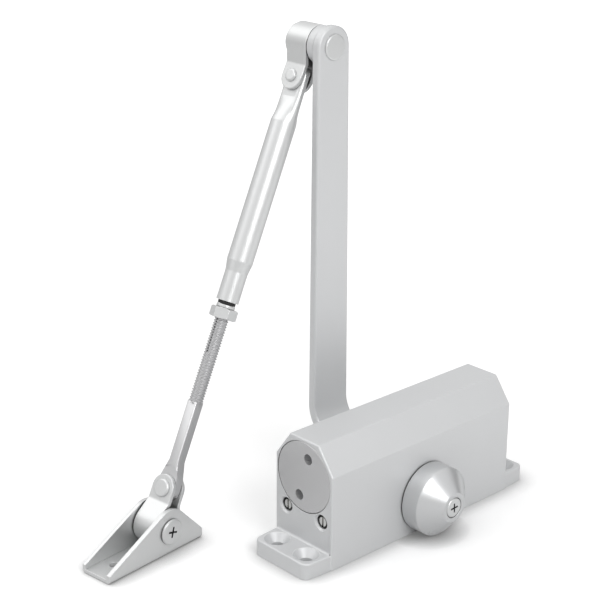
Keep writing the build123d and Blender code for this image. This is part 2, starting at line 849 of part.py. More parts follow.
elbow_frame = Plane(origin=elbow_centre, x_dir=upper_pivot_way, z_dir=-strap_way)
forearm_frame = Plane(origin=upper_rivet_centre, x_dir=upper_pivot_way, z_dir=-forearm_way)
rod_frame = Plane(origin=lower_rivet_centre, x_dir=lower_pivot_way, z_dir=-forearm_way)
foot_strap_frame = Plane(origin=foot_centre, x_dir=lower_pivot_way, z_dir=foot_strap_way)
bracket_frame = Plane(origin=foot_centre, x_dir=bracket_way, z_dir=(0, 0, 1))


# Knuckles
# Each strap is one sheet bent round a bush, with two legs that hold a cross rivet.
def make_strap(frame, name):
    """The strap around a bush at the origin, its legs hanging down to the rivet."""
    wrap = strap_outer_radius - strap_sheet / 2
    leg = (strap_gap + strap_sheet) / 2
    tangent_angle = atan2(-strap_neck, leg) + acos(wrap / hypot(strap_neck, leg))
    touch = (wrap * cos(tangent_angle), wrap * sin(tangent_angle))
    leg_end = -knuckle_reach - strap_width / 2
    with BuildPart() as strap:
        with BuildSketch(Plane.XZ):
            with BuildLine():
                right_leg = FilletPolyline(
                    (leg, leg_end), (leg, -strap_neck), touch, radius=strap_bend
                )
                ThreePointArc(touch, (0, wrap), (-touch[0], touch[1]))
                mirror(right_leg, about=Plane.YZ)
            trace(line_width=strap_sheet)
        extrude(amount=strap_width / 2, both=True)
        with BuildSketch(Plane.YZ):
            Rectangle(strap_width, 2 * strap_outer_radius)
            with Locations((0, -knuckle_reach / 2)):
                Rectangle(strap_width, knuckle_reach)
            with Locations((0, -knuckle_reach)):
                Circle(strap_width / 2)
        extrude(amount=2 * strap_outer_radius, both=True, mode=Mode.INTERSECT)
        leg_faces = strap.faces().filter_by(Axis.X).group_by(Axis.X)
        fillet((leg_faces[0] + leg_faces[-1]).edges(), strap_edge)
        with BuildSketch(Plane.YZ):
            with Locations((0, -knuckle_reach)):
                Circle(rivet_radius + seal_gap)
        extrude(amount=strap_outer_radius, both=True, mode=Mode.SUBTRACT)
    place(strap, frame)
    save(strap, name)


def make_bush(frame, pin_radius, name):
    """The tube inside a strap that turns on a pin or a screw."""
    with BuildPart() as bush:
        with BuildSketch(Plane.XZ.offset(-bush_length / 2)):
            Circle(strap_outer_radius - strap_sheet - seal_gap)
            Circle(pin_radius + thread_gap, mode=Mode.SUBTRACT)
        extrude(amount=bush_length)
        chamfer(bush.edges().filter_by(GeomType.CIRCLE), bush_edge)
    place(bush, frame)
    save(bush, name)


def make_rivet(frame, head_side, name):
    """A cross rivet through the legs of a strap, its head on one side along X."""
    leg_face = strap_gap / 2 + strap_sheet
    rivet_centre = (0, 0, -knuckle_reach)
    head_plane = Plane(
        origin=(head_side * leg_face, 0, -knuckle_reach), x_dir=(0, 1, 0), z_dir=(head_side, 0, 0)
    )
    tail_plane = Plane(
        origin=(-head_side * leg_face, 0, -knuckle_reach),
        x_dir=(0, 1, 0),
        z_dir=(-head_side, 0, 0),
    )
    with BuildPart() as rivet:
        with BuildSketch(head_plane):
            Circle(rivet_head_radius)
        extrude(amount=rivet_head_height)
        fillet(rivet.faces().sort_by(Axis.X)[-1 if head_side > 0 else 0].edges(), rivet_head_edge)
        with BuildSketch(tail_plane):
            Circle(rivet_tail_radius)
        extrude(amount=rivet_head_height)
        fillet(rivet.faces().sort_by(Axis.X)[0 if head_side > 0 else -1].edges(), rivet_head_edge)
        with BuildSketch(Plane.YZ.offset(-leg_face)):
            with Locations((rivet_centre[1], rivet_centre[2])):
                Circle(rivet_radius)
        extrude(amount=2 * leg_face)
    place(rivet, frame)
    save(rivet, name)


make_strap(elbow_frame, "upper_strap")
make_bush(elbow_frame, elbow_pin_radius, "upper_bush")
make_rivet(elbow_frame, 1, "upper_rivet")
make_strap(foot_strap_frame, "lower_strap")
make_bush(foot_strap_frame, bracket_screw_radius, "lower_bush")
make_rivet(foot_strap_frame, 1, "lower_rivet")


# Forearm
# A tube pressed flat at the top, swaged at the bottom round the thread of the rod.
eye_radius = tube_radius + 0.2
eye_edge = eye_thickness / 2 - 0.1
with BuildPart() as forearm_tube:
    with BuildSketch(Plane.XY.offset(-eye_drop)):
        RectangleRounded(eye_thickness, 2 * eye_radius, eye_edge)
    extrude(amount=eye_drop + eye_radius)
    with BuildSketch(Plane.YZ):
        Circle(eye_radius)
        with Locations((0, -eye_drop / 2)):
            Rectangle(2 * eye_radius, eye_drop)
    extrude(amount=eye_thickness, both=True, mode=Mode.INTERSECT)
    with BuildSketch(Plane.XY.offset(-eye_drop)):
        RectangleRounded(eye_thickness, 2 * eye_radius, eye_edge)
    with BuildSketch(Plane.XY.offset(-round_drop)):
        Circle(tube_radius)
    loft()
    with BuildSketch(Plane.XZ):
        with BuildLine():
            Polyline(
                (0, -round_drop),
                (tube_radius, -round_drop),
                (tube_radius, -swage_start),
                (swage_radius, -swage_start - swage_length),
                (swage_radius, -tube_end),
                (0, -tube_end),
                close=True,
            )
        make_face()
    revolve(axis=Axis.Z)
    thread_bore = rod_radius + thread_gap
    tube_bore = tube_radius - tube_wall
    with BuildSketch(Plane.XZ):
        with BuildLine():
            Polyline(
                (0, -round_drop - 3.0),
                (tube_bore, -round_drop - 6.0),
                (tube_bore, -swage_start),
                (thread_bore, -swage_start - swage_length),
                (thread_bore, -tube_end),
                (0, -tube_end),
                close=True,
            )
        make_face()
    revolve(axis=Axis.Z, mode=Mode.SUBTRACT)
    with BuildSketch(Plane.YZ):
        Circle(rivet_radius + thread_gap)
    extrude(amount=tube_radius, both=True, mode=Mode.SUBTRACT)
place(forearm_tube, forearm_frame)
save(forearm_tube, "forearm_tube")

with BuildPart() as lock_nut:
    with BuildSketch(Plane.XY.offset(-nut_start)):
        RegularPolygon(nut_across_flats / 2, 6, major_radius=False, rotation=nut_turn)
        Circle(thread_bore, mode=Mode.SUBTRACT)
    extrude(amount=-nut_height)
    for end, inwards in ((-nut_start, -1), (-nut_start - nut_height, 1)):
        bevel_start = nut_across_flats / 2 - nut_bevel
        bevel_end = nut_across_flats
        with BuildSketch(Plane.XZ):
            with BuildLine():
                Polyline(
                    (bevel_start, end),
                    (bevel_end, end + inwards * (bevel_end - bevel_start) / 2),
                    (bevel_end, end),
                    close=True,
                )
            make_face()
        revolve(axis=Axis.Z, mode=Mode.SUBTRACT)
place(lock_nut, forearm_frame)
save(lock_nut, "lock_nut")

# Rod that is screwed into the tube above. Below its thread it is a square bar, which is
# pressed wide and flat round the rivet.
with BuildPart() as adjusting_rod:
    with BuildSketch(Plane.XY.offset(-rod_eye_radius)):
        RectangleRounded(rod_shank_side, 2 * rod_eye_radius, rod_shank_edge)
    extrude(amount=rod_eye_radius + rod_eye_rise)
    with BuildSketch(Plane.YZ):
        Circle(rod_eye_radius)
        with Locations((0, rod_eye_rise / 2)):
            Rectangle(2 * rod_eye_radius, rod_eye_rise)
    extrude(amount=rod_shank_side, both=True, mode=Mode.INTERSECT)
    with BuildSketch(Plane.XY.offset(rod_eye_rise)):
        RectangleRounded(rod_shank_side, 2 * rod_eye_radius, rod_shank_edge)
    with BuildSketch(Plane.XY.offset(rod_shank_rise)):
        RectangleRounded(rod_shank_side, rod_shank_side, rod_shank_edge)
    loft()
    with BuildSketch(Plane.XY.offset(rod_shank_rise)):
        RectangleRounded(rod_shank_side, rod_shank_side, rod_shank_edge)
    extrude(amount=rod_thread_rise - rod_shank_rise)
    with BuildSketch(Plane.XY.offset(rod_thread_rise)):
        Circle(rod_radius)
    extrude(amount=forearm_span - rod_top - rod_thread_rise)
    chamfer(adjusting_rod.faces().sort_by(Axis.Z)[-1].edges(), rod_edge)
    for side in (-1, 1):
        with BuildSketch(Plane.YZ.offset(side * eye_thickness / 2)):
            with Locations((0, rod_pad_rise - rod_eye_radius)):
                Circle(rod_eye_radius)
            with Locations((0, rod_pad_rise / 2 - rod_eye_radius)):
                Rectangle(3 * rod_eye_radius, rod_pad_rise)
        extrude(amount=side * rod_shank_side, mode=Mode.SUBTRACT)
    with BuildSketch(Plane.YZ):
        Circle(rivet_radius + thread_gap)
    extrude(amount=eye_thickness, both=True, mode=Mode.SUBTRACT)
place(adjusting_rod, rod_frame)
save(adjusting_rod, "adjusting_rod")


# Foot bracket
# A channel bent from sheet. Its two walls rise to a round crown that holds the screw.
def wall_corner(end, height):
    """The angle at the crown's centre where a line from a wall's low corner touches it."""
    distance = hypot(end, height - bracket_axis_height)
    corner_angle = atan2(height - bracket_axis_height, end)
    open_angle = acos(bracket_crown_radius / distance)
    return corner_angle - open_angle if end < 0 else corner_angle + open_angle


front_touch = wall_corner(bracket_front, bracket_front_height)
rear_touch = wall_corner(bracket_rear, bracket_rear_height)
floor_level = -bracket_axis_height
with BuildPart() as foot_bracket:
    with BuildSketch(Plane.YZ.offset(bracket_front)) as channel:
        with Locations((0, floor_level + bracket_axis_height)):
            Rectangle(2 * bracket_outer_half, 2 * bracket_axis_height)
        fillet(channel.vertices().group_by(Axis.Y)[0], bracket_sheet)
        with Locations((0, bracket_sheet)):
            Rectangle(2 * bracket_inner_half, 2 * bracket_axis_height, mode=Mode.SUBTRACT)
    extrude(amount=bracket_rear - bracket_front)
    with BuildSketch(Plane.XZ):
        with BuildLine():
            front_line = Line(
                (bracket_front, floor_level + bracket_front_height),
                (bracket_crown_radius * cos(front_touch), bracket_crown_radius * sin(front_touch)),
            )
            rear_line = Line(
                (bracket_rear, floor_level + bracket_rear_height),
                (bracket_crown_radius * cos(rear_touch), bracket_crown_radius * sin(rear_touch)),
            )
            ThreePointArc(front_line @ 1, (0, bracket_crown_radius), rear_line @ 1)
            Polyline(
                front_line @ 0,
                (bracket_front, floor_level),
                (bracket_rear, floor_level),
                rear_line @ 0,
            )
        make_face()
    extrude(amount=2 * bracket_outer_half, both=True, mode=Mode.INTERSECT)
    wall_faces = foot_bracket.faces().filter_by(Axis.Y).group_by(Axis.Y)
    outer_edges = (wall_faces[0] + wall_faces[-1]).edges()
    fillet(outer_edges.filter_by(lambda edge: edge.center().Z > floor_level + bracket_edge), bracket_edge)
    with BuildSketch(Plane.XZ):
        Circle(bracket_screw_radius + thread_gap)
    extrude(amount=bracket_outer_half, both=True, mode=Mode.SUBTRACT)
    with BuildSketch(Plane.XY.offset(floor_level)):
        with Locations((bracket_hole_front, 0), (bracket_hole_rear, 0)):
            Circle(bracket_hole_radius)
    extrude(amount=bracket_sheet, mode=Mode.SUBTRACT)
place(foot_bracket, bracket_frame)
save(foot_bracket, "foot_bracket")

with BuildPart() as bracket_screw:
    with BuildSketch(Plane.XZ.offset(bracket_outer_half)):
        Circle(bracket_head_radius)
    extrude(amount=bracket_head_height)
    fillet(bracket_screw.faces().sort_by(Axis.Y)[0].edges(), 0.7 * bracket_head_height)
    with BuildSketch(Plane.XZ.offset(bracket_outer_half)):
        Circle(bracket_screw_radius)
    extrude(amount=-2 * bracket_outer_half - hexagon_height - bracket_screw_end)
    chamfer(bracket_screw.faces().sort_by(Axis.Y)[-1].edges(), shaft_edge)
place(bracket_screw, bracket_frame)
save(bracket_screw, "bracket_screw")

with BuildPart() as bracket_nut:
    with BuildSketch(Plane.XZ.offset(-bracket_outer_half)):
        RegularPolygon(hexagon_flats / 2, 6, major_radius=False)
        Circle(bracket_screw_radius + thread_gap, mode=Mode.SUBTRACT)
    extrude(amount=-hexagon_height)
place(bracket_nut, bracket_frame)
save(bracket_nut, "bracket_nut")
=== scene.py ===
import json
from math import cos, pi, radians, sin

import bmesh
import bpy
from mathutils import Matrix, Vector

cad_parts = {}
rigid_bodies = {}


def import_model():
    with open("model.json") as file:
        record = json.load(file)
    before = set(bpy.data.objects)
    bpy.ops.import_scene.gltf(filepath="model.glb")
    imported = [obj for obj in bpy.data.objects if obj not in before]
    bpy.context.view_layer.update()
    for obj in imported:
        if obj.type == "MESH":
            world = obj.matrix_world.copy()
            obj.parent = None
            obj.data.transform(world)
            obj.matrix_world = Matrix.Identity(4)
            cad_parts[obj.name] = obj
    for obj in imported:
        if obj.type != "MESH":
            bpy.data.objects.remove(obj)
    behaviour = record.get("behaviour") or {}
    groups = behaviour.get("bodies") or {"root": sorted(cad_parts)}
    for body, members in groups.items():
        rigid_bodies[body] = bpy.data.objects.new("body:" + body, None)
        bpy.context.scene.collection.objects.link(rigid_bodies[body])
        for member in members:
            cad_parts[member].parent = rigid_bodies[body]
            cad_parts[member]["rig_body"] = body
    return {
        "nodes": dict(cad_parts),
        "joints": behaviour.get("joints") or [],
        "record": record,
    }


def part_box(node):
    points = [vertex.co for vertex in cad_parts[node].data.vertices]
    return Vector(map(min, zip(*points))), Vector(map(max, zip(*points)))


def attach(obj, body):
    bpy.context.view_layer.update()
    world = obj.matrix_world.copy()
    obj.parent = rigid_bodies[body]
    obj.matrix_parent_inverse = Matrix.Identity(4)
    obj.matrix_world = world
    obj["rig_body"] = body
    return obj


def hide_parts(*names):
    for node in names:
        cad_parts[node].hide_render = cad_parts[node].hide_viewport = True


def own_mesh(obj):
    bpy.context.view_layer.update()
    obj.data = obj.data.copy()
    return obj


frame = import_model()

MM = 0.001
# Corners nearer than this are one corner
MERGE = 0.0002 * MM
# Edges sharper than this are rounded
SHARP = radians(35)
ROUNDING_STEPS = 4
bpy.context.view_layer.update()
nodes = frame["nodes"]
joints = {joint["name"]: joint for joint in frame["joints"]}


# Camera at the photograph's place
CAMERA_AZIMUTH = radians(42.933)
CAMERA_ELEVATION = radians(20.481)
CAMERA_ROLL = radians(0.411)
CAMERA_PLACE = Vector((-480.68, -450.08, 353.17)) * MM
SENSOR_WIDTH = 36.0
FOCAL_LENGTH = 93.75


def aim_camera():
    """The camera that frames the object as the photograph does."""
    forward = Vector(
        (
            sin(CAMERA_AZIMUTH) * cos(CAMERA_ELEVATION),
            cos(CAMERA_AZIMUTH) * cos(CAMERA_ELEVATION),
            -sin(CAMERA_ELEVATION),
        )
    )
    level_right = Vector((cos(CAMERA_AZIMUTH), -sin(CAMERA_AZIMUTH), 0))
    level_up = level_right.cross(forward)
    right = level_right * cos(CAMERA_ROLL) + level_up * sin(CAMERA_ROLL)
    up = level_up * cos(CAMERA_ROLL) - level_right * sin(CAMERA_ROLL)
    data = bpy.data.cameras.new("camera")
    data.sensor_width = SENSOR_WIDTH
    data.lens = FOCAL_LENGTH
    camera = bpy.data.objects.new("camera", data)
    bpy.context.scene.collection.objects.link(camera)
    turn = Matrix((right, up, -forward)).transposed().to_4x4()
    camera.matrix_world = Matrix.Translation(CAMERA_PLACE) @ turn
    bpy.context.scene.camera = camera


aim_camera()


# Materials
def linear(hex_code):
    """A colour written as sRGB hex, in the linear values that shaders take."""
    channels = [int(hex_code[i:i + 2], 16) / 255 for i in (1, 3, 5)]
    return [c / 12.92 if c <= 0.04045 else ((c + 0.055) / 1.055) ** 2.4 for c in channels] + [1]


def add(tree, kind, settings=None, links=None):
    """A node of a kind, with its settings, input values and links from other sockets."""
    node = tree.nodes.new(kind)
    for key, value in (settings or {}).items():
        if isinstance(key, str) and hasattr(node, key):
            setattr(node, key, value)
        else:
            node.inputs[key].default_value = value
    for key, socket in (links or {}).items():
        tree.links.new(socket, node.inputs[key])
    return node


def start_material(name):
    """An empty material and its Object coordinates."""
    material = bpy.data.materials.new(name)
    material.use_nodes = True
    tree = material.node_tree
    tree.nodes.clear()
    return material, tree, add(tree, "ShaderNodeTexCoord").outputs["Object"]


# A painted highlight along the edges: the radius they seem to have, how far the rounded normal has
# to lean from the true one where the mask starts and where it is full, and the most that it then
# takes
EDGE_ROUND_RADIUS = 0.3 * MM
EDGE_LIGHT_FROM = 0.995
EDGE_LIGHT_FULL = 0.93
EDGE_LIGHT_MOST = 0.85
EDGE_LIGHT_COLOUR = "#F6F6F6"


def edge_highlights(tree):
    """A softened normal, and a mask that is high along the edges, where a highlight is painted."""
    soft = add(tree, "ShaderNodeBevel", {"samples": 6, "Radius": EDGE_ROUND_RADIUS})
    true = add(tree, "ShaderNodeNewGeometry")
    match = add(
        tree,
        "ShaderNodeVectorMath",
        {"operation": "DOT_PRODUCT"},
        {0: soft.outputs["Normal"], 1: true.outputs["Normal"]},
    )
    mask = add(
        tree,
        "ShaderNodeMapRange",
        {
            "From Min": EDGE_LIGHT_FROM,
            "From Max": EDGE_LIGHT_FULL,
            "To Min": 0.0,
            "To Max": EDGE_LIGHT_MOST,
        },
        {"Value": match.outputs["Value"]},
    )
    return soft.outputs["Normal"], mask.outputs["Result"]


# Painted shade in a corner: how far it reaches, the open share of the surroundings where the mask
# starts and where it is full, and the most that it then takes
SHADE_REACH = 1.8 * MM
SHADE_FROM = 0.62
SHADE_FULL = 0.22
SHADE_MOST = 0.88
SHADE_COLOUR = "#2C2C2D"


def corner_shade(tree):
    """A mask that is high deep in corners and narrow gaps, where shade is painted."""
    open_sky = add(tree, "ShaderNodeAmbientOcclusion", {"samples": 8, "Distance": SHADE_REACH})
    mask = add(
        tree,
        "ShaderNodeMapRange",
        {"From Min": SHADE_FROM, "From Max": SHADE_FULL, "To Min": 0.0, "To Max": SHADE_MOST},
        {"Value": open_sky.outputs["AO"]},
    )
    return mask.outputs["Result"]


# Size in mm of the broad clouds in a finish, about the width of a wiping finger
CLOUD_SIZE = 22.0
# The turning marks are really about 0.2 mm apart and are drawn coarser, at 1 mm. The wave
# texture makes 20 / 2 pi waves in each unit of its scale.
RING_PITCH = 1.0 * MM
RING_SCALE = 2 * pi / 20 / RING_PITCH
# How far the gloss goes up and down, and how deep the grain and the turning marks are
GLOSS_SPREAD = 0.04
NOISE_LOW = 0.3
NOISE_HIGH = 0.7
GRAIN_DEPTH = 0.05 * MM
MARK_DEPTH = 0.03 * MM
MARK_STRENGTH = 0.35
# Painted shade on the rims of the speed valves' heads
VALVE_SHADE_COLOUR = "#1C1C1C"
# Radii on a speed valve's head between which the painted shade begins
VALVE_SHADE_START = 2.0 * MM
VALVE_SHADE_FULL = 2.3 * MM


def metal(
    name, colour, roughness, metallic, grain, mottle, relief, marks=None, painted_shade=None, soft_edges_painted_light=False
):
    """A metal finish: fine grain and broad unevenness in colour, gloss and relief.

    grain is the size of the grain in mm. mottle is the share by which the colour varies. marks
    makes one more height pattern, such as turning rings, from the coordinates, and the next
    argument makes a mask where shade is painted into the colour. The last one rounds the edges,
    paints highlights along them and paints shade in corners."""
    material, tree, place = start_material(name)
    fine = add(
        tree,
        "ShaderNodeTexNoise",
        {"Scale": 1 / (grain * MM), "Detail": 3.0, "Roughness": 0.6},
        {"Vector": place},
    )
    broad = add(
        tree,
        "ShaderNodeTexNoise",
        {"Scale": 1 / (CLOUD_SIZE * MM), "Detail": 2.0},
        {"Vector": place},
    )
    both = add(
        tree,
        "ShaderNodeMix",
        {"data_type": "FLOAT", "Factor": 0.5},
        {"A": fine.outputs["Fac"], "B": broad.outputs["Fac"]},
    )
    base = linear(colour)[:3]
    shade = add(
        tree,
        "ShaderNodeMix",
        {
            "data_type": "RGBA",
            "A": [c * (1 - mottle) for c in base] + [1],
            "B": [min(1.0, c * (1 + mottle)) for c in base] + [1],
        },
        {"Factor": both.outputs["Result"]},
    )
    round_normal = {}
    if soft_edges_painted_light:
        soft, mask = edge_highlights(tree)
        round_normal = {"Normal": soft}
        # Painted highlights along the edges
        shade = add(
            tree,
            "ShaderNodeMix",
            {"data_type": "RGBA", "B": linear(EDGE_LIGHT_COLOUR)},
            {"Factor": mask, "A": shade.outputs["Result"]},
        )
        # Painted shade deep in corners and gaps
        shade = add(
            tree,
            "ShaderNodeMix",
            {"data_type": "RGBA", "B": linear(SHADE_COLOUR)},
            {"Factor": corner_shade(tree), "A": shade.outputs["Result"]},
        )
    # Painted shade from a mask, darkening the colour
    if painted_shade:
        shade = add(
            tree,
            "ShaderNodeMix",
            {"data_type": "RGBA", "B": linear(VALVE_SHADE_COLOUR)},
            {"Factor": painted_shade(tree, place), "A": shade.outputs["Result"]},
        )
    gloss = add(
        tree,
        "ShaderNodeMapRange",
        {
            "From Min": NOISE_LOW,
            "From Max": NOISE_HIGH,
            "To Min": roughness - GLOSS_SPREAD,
            "To Max": roughness + GLOSS_SPREAD,
        },
        {"Value": both.outputs["Result"]},
    )
    normal = add(
        tree,
        "ShaderNodeBump",
        {"Strength": relief, "Distance": GRAIN_DEPTH},
        {"Height": fine.outputs["Fac"], **round_normal},
    )
    if marks:
        normal = add(
            tree,
            "ShaderNodeBump",
            {"Strength": MARK_STRENGTH, "Distance": MARK_DEPTH},
            {"Height": marks(tree, place), "Normal": normal.outputs["Normal"]},
        )
    surface = add(
        tree,
        "ShaderNodeBsdfPrincipled",
        {"Metallic": metallic},
        {
            "Base Color": shade.outputs["Result"],
            "Roughness": gloss.outputs["Result"],
            "Normal": normal.outputs["Normal"],
        },
    )
    add(tree, "ShaderNodeOutputMaterial", None, {"Surface": surface.outputs["BSDF"]})
    return material


def turning_rings(tree, place):
    """The height of fine rings round the axis of the end plugs."""
    low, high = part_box("valve_end_plug")
    middle = (low + high) / 2
    centred = add(
        tree,
        "ShaderNodeMapping",
        {"Location": (0, -middle.y, -middle.z)},
        {"Vector": place},
    )
    rings = add(
        tree,
        "ShaderNodeTexWave",
        {"wave_type": "RINGS", "rings_direction": "X", "Scale": RING_SCALE, "Distortion": 0.4},
        {"Vector": centred.outputs["Vector"]},
    )
    return rings.outputs["Fac"]


def valve_rim_shade(tree, place):
    """1 near the rim of both valve heads, where shade is painted on the brass, 0 inside it."""
    low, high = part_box("latching_speed_valve")
    parts = add(tree, "ShaderNodeSeparateXYZ", None, {"Vector": place})
    side = add(tree, "ShaderNodeMath", {"operation": "ABSOLUTE"}, {0: parts.outputs["Y"]})
    both = add(
        tree,
        "ShaderNodeCombineXYZ",
        None,
        {"Y": side.outputs[0], "Z": parts.outputs["Z"]},
    )
    distance = add(
        tree,
        "ShaderNodeVectorMath",
        {"operation": "DISTANCE", 1: (0, (low.y + high.y) / 2, (low.z + high.z) / 2)},
        {0: both.outputs["Vector"]},
    )
    return add(
        tree,
        "ShaderNodeMapRange",
        {"From Min": VALVE_SHADE_START, "From Max": VALVE_SHADE_FULL},
        {"Value": distance.outputs["Value"]},
    ).outputs["Result"]


# Silver lacquer sprayed over die castings: an even pale silver with a soft sheen, with painted
# highlights along the edges and painted shade in corners. Its orange peel is really about 0.5 mm.
lacquered_casting = metal(
    "lacquered_casting",
    "#D2D3D4",
    roughness=0.46,
    metallic=0.35,
    grain=0.45,
    mottle=0.03,
    relief=0.03,
    soft_edges_painted_light=True,
)
# The same lacquer over a turned cap: smoother, so its cone takes a long bright streak.
lacquered_cap = metal(
    "lacquered_cap",
    "#CDCECF",
    roughness=0.3,
    metallic=0.65,
    grain=0.45,
    mottle=0.03,
    relief=0.02,
    soft_edges_painted_light=True,
)
# Zinc plated steel sheet and tube: half bright, with painted highlights on the rims and painted
# shade in the folds. The crystals are really finer than 0.1 mm and are drawn coarser, at 0.65 mm,
# to be seen at all. So is the grain of the other metals.
zinc_plated_steel = metal(
    "zinc_plated_steel",
    "#D6D7D7",
    roughness=0.38,
    metallic=0.7,
    grain=0.65,
    mottle=0.04,
    relief=0.02,
    soft_edges_painted_light=True,
)
# Sintered iron of the bushes, drawn near black as painted shade: the near black rings in the
# knuckles.
shade_black_sintered_iron = metal(
    "shade_black_sintered_iron",
    "#1E1E1F",
    roughness=0.55,
    metallic=0.4,
    grain=0.65,
    mottle=0.1,
    relief=0.04,
)
# Turned aluminium of the end plugs: a grey disc with rings in its sheen.
turned_aluminium = metal(
    "turned_aluminium",
    "#C8C8C9",
    roughness=0.42,
    metallic=0.6,
    grain=0.65,
    mottle=0.03,
    relief=0.02,
    marks=turning_rings,
)
# Rolled steel of the adjusting rod, zinc plated: duller than the sheet, with sharp thread lines.
rolled_steel = metal(
    "rolled_steel",
    "#C9C9CA",
    roughness=0.36,
    metallic=0.75,
    grain=0.65,
    mottle=0.06,
    relief=0.04,
)
# Ground steel of the spindle and the spring: darker than the plating, with sharper highlights.
ground_steel = metal(
    "ground_steel",
    "#A8A8AA",
    roughness=0.3,
    metallic=1.0,
    grain=0.65,
    mottle=0.04,
    relief=0.02,
)
# Oiled cast bronze of the bearings: warm brown metal.
oiled_bronze = metal(
    "oiled_bronze",
    "#B08850",
    roughness=0.35,
    metallic=1.0,
    grain=0.65,
    mottle=0.06,
    relief=0.02,
)
# Nickel plated turned brass of the speed valves: pale heads with painted shade on their rims.
nickel_plated_brass = metal(
    "nickel_plated_brass",
    "#D8D8D6",
    roughness=0.3,
    metallic=1.0,
    grain=0.65,
    mottle=0.05,
    relief=0.03,
    painted_shade=valve_rim_shade,
)
# Machined cast iron of the piston: mid grey and uneven.
machined_iron = metal(
    "machined_iron",
    "#77777A",
    roughness=0.45,
    metallic=1.0,
    grain=0.8,
    mottle=0.08,
    relief=0.04,
)
# Moulded nitrile rubber of the seals: matt black.
moulded_rubber = metal(
    "moulded_rubber",
    "#161616",
    roughness=0.6,
    metallic=0.0,
    grain=0.8,
    mottle=0.2,
    relief=0.05,
)
# Dark steel inside the driver recesses: painted shade that gives the dark crosses of the screw
# heads.
recess_shade_steel = metal(
    "recess_shade_steel",
    "#3A3A3B",
    roughness=0.5,
    metallic=0.3,
    grain=0.8,
    mottle=0.1,
    relief=0.03,
)

finishes = {
    "casting": lacquered_casting,
    "plug": turned_aluminium,
    "cap": lacquered_cap,
    "arm": lacquered_casting,
    "plated_steel": zinc_plated_steel,
    "collar": lacquered_casting,
    "strap": zinc_plated_steel,
    "tube": zinc_plated_steel,
    "rod": rolled_steel,
    "bracket": zinc_plated_steel,
    "gear_steel": ground_steel,
    "bearing_bronze": oiled_bronze,
    "piston_iron": machined_iron,
    "spring_steel": ground_steel,
    "valve_brass": nickel_plated_brass,
    "seal_rubber": moulded_rubber,
}
# The finish of each CAD node
slot_of = {part["node"]: part["material_slot"] for part in frame["record"]["subparts"]}
for node, slot in slot_of.items():
    slots = nodes[node].data.materials
    slots.clear()
    # The bushes take the near black iron, painted shade in the knuckles
    slots.append(shade_black_sintered_iron if node.endswith("_bush") else finishes[slot])


# Shapes
def stand(origin, across, along):
    """The matrix that puts a shape at the origin, its X across and its Z along."""
    z = Vector(along).normalized()
    x = Vector(across).normalized()
    return Matrix.Translation(origin) @ Matrix((x, z.cross(x), z)).transposed().to_4x4()


def link_mesh(name, bm, place, finish_list, crease):
    """The shape at its place, as an object that is smooth but for its creases in degrees."""
    bmesh.ops.transform(bm, matrix=place, verts=bm.verts)
    bmesh.ops.remove_doubles(bm, verts=bm.verts, dist=MERGE)
    bmesh.ops.recalc_face_normals(bm, faces=bm.faces)
    mesh = bpy.data.meshes.new(name)
    bm.to_mesh(mesh)
    bm.free()
    mesh.shade_smooth()
    mesh.set_sharp_from_angle(angle=radians(crease))
    for finish in finish_list:
        mesh.materials.append(finish)
    shape = bpy.data.objects.new(name, mesh)
    bpy.context.scene.collection.objects.link(shape)
    return shape


# Degrees past which a crease stays sharp; the thread's ridges need more
CREASE = 32
THREAD_CREASE = 50


def finish_piece(name, bm, place, node, crease=CREASE):
    """The shape as a piece that stands for a CAD node, on its body and in its finish."""
    # The second finish is painted shade for recesses
    shape = link_mesh(name, bm, place, [finishes[slot_of[node]], recess_shade_steel], crease)
    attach(shape, nodes[node]["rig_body"])
    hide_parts(node)
    return shape


TURN_STEPS = 96
CIRCLE_STEPS = 64


def turn_profile(bm, profile, steps=TURN_STEPS, closed=True):
    """A profile, points of (radius, height), spun all the way about Z."""
    corners = [bm.verts.new((radius, 0, height)) for radius, height in profile]
    pairs = zip(corners, corners[1:] + corners[:1] if closed else corners[1:])
    wire = [bm.edges.new(pair) for pair in pairs]
    bmesh.ops.spin(
        bm, geom=corners + wire, axis=(0, 0, 1), angle=2 * pi, steps=steps, use_merge=True
    )
    bmesh.ops.remove_doubles(bm, verts=bm.verts, dist=MERGE)
    bmesh.ops.recalc_face_normals(bm, faces=bm.faces)


def round_edges(bm, radius, below=None):
    """Rounds the sharp edges, or only those whose middle is below a height."""
    sharp = [
        edge
        for edge in bm.edges
        if len(edge.link_faces) == 2
        and edge.calc_face_angle() > SHARP
        and (below is None or (edge.verts[0].co.z + edge.verts[1].co.z) / 2 < below)
    ]
    bmesh.ops.bevel(
        bm,
        geom=sharp,
        offset=radius,
        segments=ROUNDING_STEPS,
        profile=0.5,
        affect="EDGES",
        material=-1,
        clamp_overlap=True,
    )


def fill_and_raise(bm, edges, way):
    """A plate: the edges filled, with the holes left open, and extruded along a way."""
    faces = bmesh.ops.triangle_fill(bm, use_beauty=True, edges=edges)["geom"]
    faces = [item for item in faces if isinstance(item, bmesh.types.BMFace)]
    raised = bmesh.ops.extrude_face_region(bm, geom=faces)["geom"]
    raised = [item for item in raised if isinstance(item, bmesh.types.BMVert)]
    bmesh.ops.translate(bm, vec=way, verts=raised)


def upright_circle(bm, radius, x, height):
    """The vertices of a circle that faces X."""
    place = Matrix.Translation((x, 0, height)) @ Matrix.Rotation(pi / 2, 4, "Y")
    circle = bmesh.ops.create_circle(bm, segments=CIRCLE_STEPS, radius=radius, matrix=place)
    return circle["verts"]


def loop_edges(vertices):
    """All the edges on some vertices, each once."""
    return list({edge for vertex in vertices for edge in vertex.link_edges})


# Cross-head screws. The shares are of the cross's reach: the flat face round it, half of an
# arm's width, and the depth. Its floor is a smaller cross, and the head is rounded by a share
# of its height.
FACE_SHARE = 1.3
ARM_SHARE = 0.19
DEPTH_SHARE = 0.5
FLOOR_SHARE = 0.65
ROUND_SHARE = 0.45


